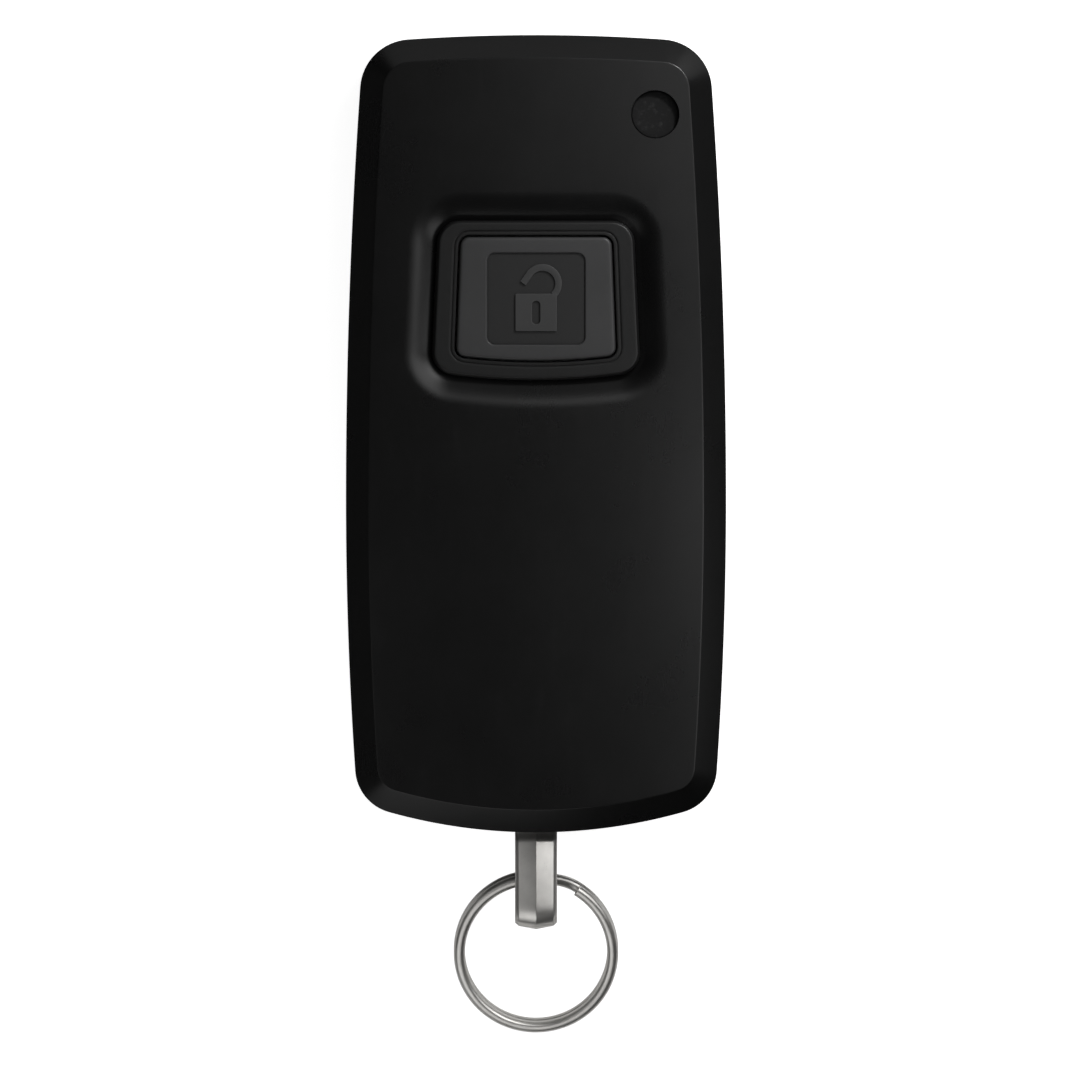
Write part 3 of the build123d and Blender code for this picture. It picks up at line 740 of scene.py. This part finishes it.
class MESH_OT_remote_front_shell(bpy.types.Operator):
    """Models the crowned front shell with its bevel, moat and holes"""

    bl_idname = "mesh.remote_front_shell"
    bl_label = "Front shell"

    def execute(self, context):
        s = sizes("housing")
        f = sizes("finishes")
        moat_steps = 16
        moat_gap = 0.00005
        spacing = (0.0014, 0.004)
        ceiling = FRONT.high.z - s.front_wall
        under = ceiling - FRONT.high.z
        foot = FRONT.low.z - FRONT.high.z
        edge = s.bevel_width + 4 * s.edge_round
        hole_edge = 3 * s.edge_round
        rim = housing_rim()
        bezel = bezel_rim()
        hole = round_rim(WINDOW.middle, s.window_hole / 2, WINDOW_SIDES)
        skin = Skin()
        outside = [(-s.wall, under, 0), (-s.wall, foot, 0), (0, foot, 0)]
        outside += [(0, -s.bevel_depth, 1), (-s.bevel_width, 0, 1), (-edge, 0, 1)]
        self.crowned_wall(skin, rim, outside, s.edge_round)
        moat = []
        for step in range(moat_steps + 1):
            part = step / moat_steps
            sunk = s.moat_depth * (1 - part) ** 2
            moat.append(skin.ring(moved(bezel, moat_gap + s.moat_width * part), on_crown(-sunk, 1)))
        skin.strip([skin.ring(moved(bezel, moat_gap), ceiling)] + moat)
        hole_wall = [(0, under, 0), (0, 0, 1), (hole_edge, 0, 1)]
        self.crowned_wall(skin, hole, hole_wall, s.edge_round * 1.5)
        holes = [moved(bezel, moat_gap + s.moat_width), moved(hole, hole_edge)]
        skin.sheet(moved(rim, -edge), holes, crown_height, spacing)
        skin.sheet(moved(rim, -s.wall), [moved(bezel, moat_gap), moved(hole, 0)], ceiling)
        plastic = moulded("satin_black_shell", f.shell, f.shell_gloss, 14, 0.0000012, wear=0.5)
        skin.done("front_shell", plastic, "housing", "front_cover")
        return {"FINISHED"}

    @staticmethod
    def crowned_wall(skin, rim, profile, radius):
        """A wall along a profile of distances out, rises above the top and shares of the crown."""
        skin.strip([
            skin.ring(moved(rim, out), on_crown(rise, follows))
            for out, rise, follows in softened(profile, radius)
        ])


class MESH_OT_remote_bezel(bpy.types.Operator):
    """Models the keystone bezel with its bevelled edges and lip"""

    bl_idname = "mesh.remote_bezel"
    bl_label = "Bezel"

    def execute(self, context):
        s = sizes("button")
        f = sizes("finishes")
        flange_drop = 0.00012
        rim_width = 0.0005
        lip_edge = 0.0002
        outer_round, inner_round = 0.00007, 0.00003
        foot = BEZEL.low.z
        top = BEZEL.high.z
        flange_top = top - sizes("housing").front_wall - flange_drop
        lip_floor = top - s.bezel_lip_depth
        slit_top = top - s.bezel_lip_depth / 2
        slit = s.bezel_lip - s.bezel_slit
        outer = [(0, foot), (0, top - s.bezel_edge), (-s.bezel_edge, top), (-rim_width, top)]
        inner = [(s.bezel_lip + lip_edge, top), (s.bezel_lip, top), (s.bezel_lip, lip_floor)]
        inner += [(slit, lip_floor), (slit, slit_top), (0, slit_top), (0, flange_top)]
        opening = cap_rim(s.cap_gap)
        skin = Skin()
        rings = skin.rings(bezel_rim(), outer, outer_round)
        rings += skin.rings(opening, inner, inner_round)
        rings.append(skin.ring(moved(opening, 0), foot))
        skin.strip(rings + [rings[0]])
        plastic = moulded("satin_black_bezel", f.bezel, 0.4, 14, 0.0000012, wear=0.8)
        skin.done("bezel_frame", plastic, "housing", "button_bezel")
        return {"FINISHED"}


class MESH_OT_remote_button(bpy.types.Operator):
    """Models the press button with its sunk square and the open padlock sign"""

    bl_idname = "mesh.remote_button"
    bl_label = "Press button"

    def execute(self, context):
        s = sizes("button")
        f = sizes("finishes")
        top_inset = 1.6 * s.cap_edge
        square_edge = 0.0002
        square_round = 0.00008
        top = CAP.high.z
        floor = top - s.recess_depth
        rim = cap_rim()
        square = box_rim(CAP.middle, s.recess_width, s.recess_height, s.recess_corner)
        skin = Skin()
        sides = skin.wall(rim, [(0, CAP.low.z), (0, top), (-top_inset, top)], s.cap_edge, 8)
        skin.lid(sides[0])
        step = [(square_edge, top), (0, top), (0, floor), (-square_edge, floor)]
        skin.wall(square, step, square_round)
        skin.sheet(moved(rim, -top_inset), [moved(square, square_edge)], top)
        skin.sheet(moved(square, -square_edge), [], floor)
        plastic = moulded("matt_grey_button", f.cap, 0.42, 9, 0.000003, wear=0.7)
        skin.done("press_button", plastic, "button", "button_cap")
        self.field(square, floor)
        self.padlock(floor)
        return {"FINISHED"}

    def field(self, square, floor):
        """The darker panel on the floor of the sunk square."""
        rise, sunk, inset, edge, edge_round = 0.00003, 0.00002, 0.00006, 0.0003, 0.00002
        top = floor + rise
        foot = floor - sunk
        skin = Skin()
        skin.wall(square, [(-inset, foot), (-inset, top), (-edge, top)], edge_round)
        skin.sheet(moved(square, -edge), [], top)
        skin.sheet(moved(square, -inset), [], foot)
        plastic = moulded("dark_sign_field", sizes("finishes").field, 0.55, 9, 0.000003, wear=0.3)
        skin.done("sign_field", plastic, "button", None)

    def padlock(self, floor):
        """The raised sign on the floor of the sunk square."""
        s = sizes("button")
        f = sizes("finishes")
        sunk, edge, edge_round = 0.00005, 0.0001, 0.00004
        top = floor + s.sign_relief
        foot = floor - sunk
        middle = Vector(CAP.middle.xy)
        body_middle = middle + Vector((0, -0.00133))
        body_corner = 0.00012
        slot_middle = body_middle + Vector((0, -0.00001))
        slot_width, slot_height, slot_corner = 0.0008, 0.00226, 0.00038
        body = box_rim(body_middle, s.sign_width, s.sign_height, body_corner)
        slot = box_rim(slot_middle, slot_width, slot_height, slot_corner)
        skin = Skin()
        skin.wall(body, [(0, foot), (0, top), (-edge, top)], edge_round)
        skin.wall(slot, [(0, foot), (0, top), (edge, top)], edge_round)
        skin.sheet(moved(body, -edge), [moved(slot, edge)], top)
        skin.sheet(moved(body, 0), [moved(slot, 0)], foot)
        bow_middle = middle + Vector((0.00062, 0.00149))
        held_turn, free_turn = -45, 145
        bow_steps, leg_steps = 38, 4
        sweep = free_turn - held_turn
        turns = [radians(held_turn + sweep * step / bow_steps) for step in range(bow_steps + 1)]
        stations = [(bow_middle + ray(turn) * s.sign_bow_radius, ray(turn)) for turn in turns]
        free_end, out = stations[-1]
        leg = ray(turns[-1] + pi / 2) * s.sign_bow_leg
        stations += [(free_end + leg * step / leg_steps, out) for step in range(1, leg_steps + 1)]
        half = s.sign_bow_width / 2
        crest = top - 0.000008
        outline = [(half, foot), (half, crest), (-half, crest), (-half, foot)]
        section = softened(outline, edge_round)
        skin.tube([
            skin.loop([(*(place + out * reach), height) for reach, height in section])
            for place, out in stations
        ])
        plastic = moulded("matt_grey_sign", f.sign, 0.46, 10, 0.000002, wear=0.9)
        skin.done("padlock_sign", plastic, "button", None)


class MESH_OT_remote_window(bpy.types.Operator):
    """Models the sunk indicator window"""

    bl_idname = "mesh.remote_window"
    bl_label = "Indicator window"

    def execute(self, context):
        s = sizes("housing")
        gap, edge, edge_round = 0.00005, 0.0004, 0.0001
        bowl_depth, bowl_steps = 0.00006, 6
        flange_reach, flange_drop, flange_height, stem_inset = 0.00055, 0.00002, 0.0006, 0.0008
        top = WINDOW.high.z
        seat = FRONT.high.z - s.front_wall
        rim = round_rim(WINDOW.middle, s.window_hole / 2 - gap, WINDOW_SIDES)
        bowl = s.window_hole / 2 - gap - edge
        skin = Skin()
        rings = skin.rings(rim, [(0, seat), (0, top), (-edge, top)], edge_round)
        for step in range(1, bowl_steps):
            part = step / bowl_steps
            sunk = bowl_depth * sin(part * pi / 2)
            rings.append(skin.ring(moved(rim, -(edge + bowl * part)), top - sunk))
        skin.strip(rings)
        skin.lid(rings[-1])
        flange_foot = seat - flange_height
        profile = [(0, seat), (flange_reach, seat - flange_drop), (flange_reach, flange_foot)]
        profile += [(-stem_inset, flange_foot), (-stem_inset, WINDOW.low.z)]
        foot = [skin.ring(moved(rim, out), height) for out, height in profile]
        skin.strip(foot)
        skin.lid(foot[-1])
        smoked = lens("smoked_window", sizes("finishes").lens)
        skin.done("lamp_window", smoked, "housing", "indicator_window")
        return {"FINISHED"}


class MESH_OT_remote_link(bpy.types.Operator):
    """Models the ridged link as a closed loop of brushed strap"""

    bl_idname = "mesh.remote_link"
    bl_label = "Link"

    def execute(self, context):
        s = sizes("metal")
        f = sizes("finishes")
        turn_steps, run_steps = 32, 90
        edge_round = 0.00007
        side = s.link_width / 2
        shoulder = side - 0.00035
        facet = (s.link_side + s.link_ridge) / 2
        outline = [(0, 0), (side, 0), (side, s.link_side), (shoulder, facet), (0, s.link_ridge)]
        outline += [(-shoulder, facet), (-side, s.link_side), (-side, 0), (0, 0)]
        section = softened(outline, edge_round, 3)[:-1]
        inner = s.link_gap / 2
        start = PIN.y
        end = LINK.low.y + inner + s.link_ridge
        path = [(end, pi + pi * step / turn_steps) for step in range(turn_steps + 1)]
        path += [(end + (start - end) * step / run_steps, 0.0) for step in range(1, run_steps)]
        path += [(start, pi * step / turn_steps) for step in range(turn_steps + 1)]
        skin = Skin()
        loops = []
        for centre, turn in path:
            hub = Vector((0, centre, PIN.z))
            out = Vector((0, sin(turn), cos(turn)))
            if turn > pi:
                round_length = abs(out.y) ** s.end_power + abs(out.z) ** s.end_power
                out /= round_length ** (1 / s.end_power)
            narrower = min(1, ((centre - end) / (REAR.low.y - end)) ** 2)
            thin = 1 - s.waist * self.waist(centre) - s.belly * narrower
            loops.append(skin.loop([
                hub + Vector((x, 0, 0)) + out * (inner + rise * thin) for x, rise in section]))
        skin.strip(loops + [loops[0]])
        metal = brushed(
            "brushed_nickel_link", f.nickel, 0.31, (1, 0.03, 1), 12.0, 0.0000004, metallic=0.9)
        skin.done("link_strap", metal, "link", "key_link", 25)
        return {"FINISHED"}

    @staticmethod
    def waist(along):
        """How far the strap dips where it comes out under the shell, from nought to one."""
        deepest = REAR.low.y + 0.0002
        half_length = 0.0012
        reach = min(1.0, abs(along - deepest) / half_length)
        return (1 + cos(pi * reach)) / 2


class MESH_OT_remote_ring(bpy.types.Operator):
    """Models the split ring as two turns of flat wire joined by a step"""

    bl_idname = "mesh.remote_ring"
    bl_label = "Split ring"

    def execute(self, context):
        s = sizes("metal")
        f = sizes("finishes")
        cut_bearing, step_sweep = 57.5, 35.0
        stations, wire_sides = 220, 32
        radius = (RING.high.x - RING.low.x - s.wire_radial) / 2
        half_pitch = (s.wire_axial + s.coil_gap) / 2
        centre = Vector(MOUNTS["key_ring"]["pos_m"])
        axis = Vector(MOUNTS["key_ring"]["axis"])
        tilt = Euler((atan2(-axis.y, axis.z), 0, 0)).to_matrix()
        outline = [
            (self.full(x, s.wire_radial / 2), self.full(y, s.wire_axial / 2))
            for x, y in (ray(2 * pi * side / wire_sides) for side in range(wire_sides))
        ]
        skin = Skin()
        loops = []
        for station in range(stations + 1):
            along = step_sweep - 360 + (720 - step_sweep) * station / stations
            level = -cos(pi * min(1.0, max(0.0, along / step_sweep)))
            out = ray(radians(cut_bearing + along))
            loops.append(skin.loop([
                tilt @ Vector((*(out * (radius + across)), up + level * half_pitch)) + centre
                for across, up in outline]))
        skin.tube(loops)
        metal = brushed(
            "bright_nickel_ring", f.nickel, 0.33, (0.25, 0.25, 1.6), 7.0, 0.0000003, metallic=0.9)
        skin.done("ring_coils", metal, "ring", "split_ring", 60)
        return {"FINISHED"}

    @staticmethod
    def full(part, half):
        """Half a wire's size, by the cosine or sine of a place on its rim."""
        return half * abs(part) ** sizes("metal").wire_fullness * (1 if part > 0 else -1)


class MESH_OT_remote_screws(bpy.types.Operator):
    """Models the case screws with cross recesses and threads"""

    bl_idname = "mesh.remote_screws"
    bl_label = "Case screws"

    def execute(self, context):
        s = sizes("metal")
        head = s.screw_head / 2
        low, high = SCREWS.low, SCREWS.high
        seat = low.z + s.screw_head_height
        skin = Skin()
        for x, y in ((0, high.y - head), (low.x + head, low.y + head), (high.x - head, low.y + head)):
            place = Vector((x, y))
            self.head(skin, s, place, low.z, seat)
            self.shank(skin, s, place, seat, high.z)
        steel = brushed("plain_screw_steel", STEEL, 0.32, (1, 1, 0.1), 6.0)
        skin.done("cross_screws", steel, "housing", "case_screws", 35)
        return {"FINISHED"}

    def head(self, skin, s, place, face, seat):
        """A round head with a cross recess in its face."""
        flat, edge_round = 0.0007, 0.00025
        arm_half, arm_reach, recess_depth, recess_narrowing = 0.00027, 0.00095, 0.0007, 0.15
        rim = round_rim(place, s.screw_head / 2, SCREW_SIDES)
        neck = s.screw_core / 2 - s.screw_head / 2
        skin.wall(rim, [(neck, seat), (0, seat), (0, face), (-flat, face)], edge_round)
        cross = self.cross(place, arm_half, arm_reach)
        skin.sheet(moved(rim, -flat), [cross], face)
        floor = [corner.lerp(place, recess_narrowing) for corner in cross]
        walls = [skin.ring(cross, face), skin.ring(floor, face + recess_depth)]
        skin.strip(walls)
        skin.lid(walls[1])

    def shank(self, skin, s, place, seat, tip):
        """A round shank with its thread cut in."""
        row_height = 0.00009
        rows = ceil((tip - seat) / row_height)
        thread = []
        for row in range(rows + 1):
            height = seat + (tip - seat) * row / rows
            places = []
            for side, (p, out) in enumerate(round_rim(place, s.screw_core / 2, SCREW_SIDES)):
                phase = (height / s.screw_pitch + side / SCREW_SIDES) % 1
                places.append(p - out * s.thread_depth * abs(2 * phase - 1))
            thread.append(skin.ring(places, height))
        skin.tube(thread)

    @staticmethod
    def cross(place, half, reach):
        """Outline of the cross recess, clockwise."""
        outline = []
        for x, y in ((1, 0), (0, -1), (-1, 0), (0, 1)):
            arm = Vector((x, y))
            side = Vector((y, -x)) * half
            tip = place + arm * reach
            outline += [tip - side, tip + side, place + arm * half + side]
        return outline


class MATERIAL_OT_remote_inner_parts(bpy.types.Operator):
    """Gives the shells, cell, board and other solids that stay their finishes"""

    bl_idname = "material.remote_inner_parts"
    bl_label = "Finishes of the other solids"

    def execute(self, context):
        f = sizes("finishes")
        dressed = {
            "rear_cover battery_door": moulded(
                "textured_black_back", f.shell, 0.58, 5, 0.000016, wear=0.8),
            "switch_body radio_chip": moulded(
                "moulded_black_package", (0.012, 0.012, 0.013), 0.5, 8, 0.000004),
            "switch_stem": moulded("natural_nylon", (0.55, 0.52, 0.44), 0.45, 4, 0.000002),
            "keypad_membrane": rubber("grey_silicone", (0.2, 0.2, 0.205)),
            "door_seal coin_cell_gasket": rubber("black_seal", (0.012, 0.012, 0.012)),
            "coin_cell_can coin_cell_cap crystal": brushed(
                "plated_cell_steel", (0.62, 0.61, 0.58), 0.3, (1, 0.05, 1), 5.0),
            "positive_contact negative_contact switch_plate switch_dome": brushed(
                "plated_spring_strip", (0.68, 0.62, 0.48), 0.25, (0.1, 1, 1), 6.0),
            "loop_antenna": brushed(
                "bare_copper_wire", (0.72, 0.36, 0.2), 0.3, (1, 0.2, 1), 6.0),
            "link_pin": brushed("plain_pin_steel", STEEL, 0.3, (0.1, 1, 1), 6.0),
            "indicator_led": moulded("diffused_lamp_resin", (0.6, 0.58, 0.5), 0.3, 3, 0.000002),
            "chip_capacitors": ceramic("tan_ceramic_chip", (0.32, 0.2, 0.11)),
            "chip_resistors": ceramic("dark_ceramic_chip", (0.02, 0.02, 0.022)),
            "circuit_board": board_mask("green_solder_mask", f.mask),
        }
        for nodes, finish in dressed.items():
            for node in nodes.split():
                solid = frame["nodes"][node]
                solid.data.materials.clear()
                solid.data.materials.append(finish)
        travel = JOINTS["button_press"]["range_m"][1]
        for node in ("keypad_membrane", "switch_dome"):
            low, high, _ = node_box(node)
            kept = 1 - travel / (high.z - low.z)
            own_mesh(frame["nodes"][node])
        return {"FINISHED"}


# Stage


class SCENE_OT_remote_stage(bpy.types.Operator):
    """Sets the pale floor, the soft lights and the camera"""

    bl_idname = "scene.remote_stage"
    bl_label = "Stage"

    def execute(self, context):
        s = sizes("stage")
        self.floor(s)
        under_face = 0.0015
        face_away, window_away, ring_away = 0.45, 0.06, 0.1
        aim = Vector((s.centre_x, s.centre_y, FRONT.high.z - under_face))
        self.camera(s, aim)
        window = Vector((*WINDOW.middle.xy, FRONT.high.z))
        aims = {
            "face": (aim, face_away),
            "window": (window, window_away),
            "ring": (RING.middle, ring_away),
        }
        for name, (target, *turned, _, _) in PANELS.items():
            self.panel(f"{name}_panel", *aims[target], *turned, getattr(s, name))
        for compass in SKYLINE_BEARINGS:
            turned = (SKYLINE_TILT, compass, *SKYLINE_SPAN)
            self.panel(f"skyline_panel_{compass}", *aims["face"], *turned, s.skyline)
        world = bpy.data.worlds.new("studio")
        context.scene.world = world
        world.use_nodes = True
        backdrop = world.node_tree.nodes["Background"]
        backdrop.inputs["Color"].default_value = (1, 1, 1, 1)
        backdrop.inputs["Strength"].default_value = s.air
        world.cycles_visibility.diffuse = False
        world.cycles_visibility.glossy = False
        context.scene.view_settings.view_transform = "Standard"
        return {"FINISHED"}

    def camera(self, s, aim):
        """A long lens straight over the face."""
        camera = bpy.data.cameras.new("front_camera")
        camera.sensor_width = 36
        camera.lens = camera.sensor_width * s.distance / s.frame_width
        camera.clip_start = 0.01
        view = placed("front_camera", camera)
        view.location = aim + Vector((0, 0, s.distance))
        bpy.context.scene.camera = view

    def floor(self, s):
        """A wide sheet that glows like a light table, and dimmer strips that the shells mirror."""
        half, drop, reach = 3.0, 0.0001, 0.08
        level = CAD_BOX[0][2] - drop
        span = ((-half, -half), (half, half))
        self.sheet("pale_floor", *span, level, s.glow, ("glossy", "shadow"))
        west, south = REAR.low.x, REAR.low.y
        east, north = REAR.high.x, REAR.high.y
        strips = {
            "left_glow": ((west - reach, south), (west, north), s.side_glow),
            "right_glow": ((east, south), (east + reach, north), s.side_glow),
            "top_glow": ((west - reach, north), (east + reach, north + reach), s.side_glow),
            "end_glow": ((west - reach, south - reach), (east + reach, south), s.end_glow),
        }
        for name, (low, high, glow) in strips.items():
            self.sheet(name, low, high, level / 2, glow, ("camera", "diffuse", "shadow"))

    def sheet(self, name, low, high, level, glow, hidden):
        """A flat glowing sheet between two corners in plan, hidden from some kinds of ray."""
        skin = Skin()
        corners = [low, (high[0], low[1]), high, (low[0], high[1])]
        skin.lid(skin.loop([(x, y, 0) for x, y in corners]))
        bmesh.ops.subdivide_edges(skin.mesh, edges=skin.mesh.edges, cuts=8, use_grid_fill=True)
        sheet = skin.plain(name, paper(name, sizes("stage").floor, glow))
        sheet.location.z = level
        for kind in hidden:
            setattr(sheet, f"visible_{kind}", False)

    def panel(self, name, aim, away, tilt, compass, width, height, brightness):
        """A soft oblong light so far from its aim, with all angles in degrees."""
        light = bpy.data.lights.new(name, "AREA")
        light.shape = "RECTANGLE"
        light.size, light.size_y = (2 * away * tan(radians(span / 2)) for span in (width, height))
        light.energy = brightness * pi * light.size * light.size_y
        lamp = placed(name, light)
        flat = sin(radians(tilt))
        lamp.location = aim + away * Vector((*(flat * ray(radians(compass))), cos(radians(tilt))))
        lamp.visible_camera = False
        lamp.rotation_euler = (aim - lamp.location).to_track_quat("-Z", "Y").to_euler()


class VIEW3D_PT_door_remote(bpy.types.Panel):
    """Lists the pieces of the remote"""

    bl_label = "Door remote"
    bl_space_type = "VIEW_3D"
    bl_region_type = "UI"
    bl_category = "Door remote"

    def draw(self, context):
        for step in STEPS:
            self.layout.operator(step.bl_idname)
        for name, group in GROUPS.items():
            box = self.layout.box()
            for size in group.__annotations__:
                box.prop(sizes(name), size)


GROUPS = {
    "housing": HousingSizes,
    "button": ButtonSizes,
    "metal": MetalSizes,
    "finishes": Finishes,
    "stage": StageSettings,
}
STEPS = (
    MESH_OT_remote_front_shell,
    MESH_OT_remote_bezel,
    MESH_OT_remote_button,
    MESH_OT_remote_window,
    MESH_OT_remote_link,
    MESH_OT_remote_ring,
    MESH_OT_remote_screws,
    MATERIAL_OT_remote_inner_parts,
    SCENE_OT_remote_stage,
)


def register():
    """Makes the classes and the scene's settings known to Blender."""
    for group in (*GROUPS.values(), *STEPS, VIEW3D_PT_door_remote):
        bpy.utils.register_class(group)
    for name, group in GROUPS.items():
        setattr(bpy.types.Scene, f"remote_{name}", PointerProperty(type=group))


def unregister():
    """Takes them away again."""
    for name in GROUPS:
        delattr(bpy.types.Scene, f"remote_{name}")
    for group in (VIEW3D_PT_door_remote, *reversed(STEPS), *GROUPS.values()):
        bpy.utils.unregister_class(group)


def main():
    """Runs every step."""
    register()
    for step in STEPS:
        kind, name = step.bl_idname.split(".")
        getattr(getattr(bpy.ops, kind), name)()


if __name__ == "__main__":
    main()
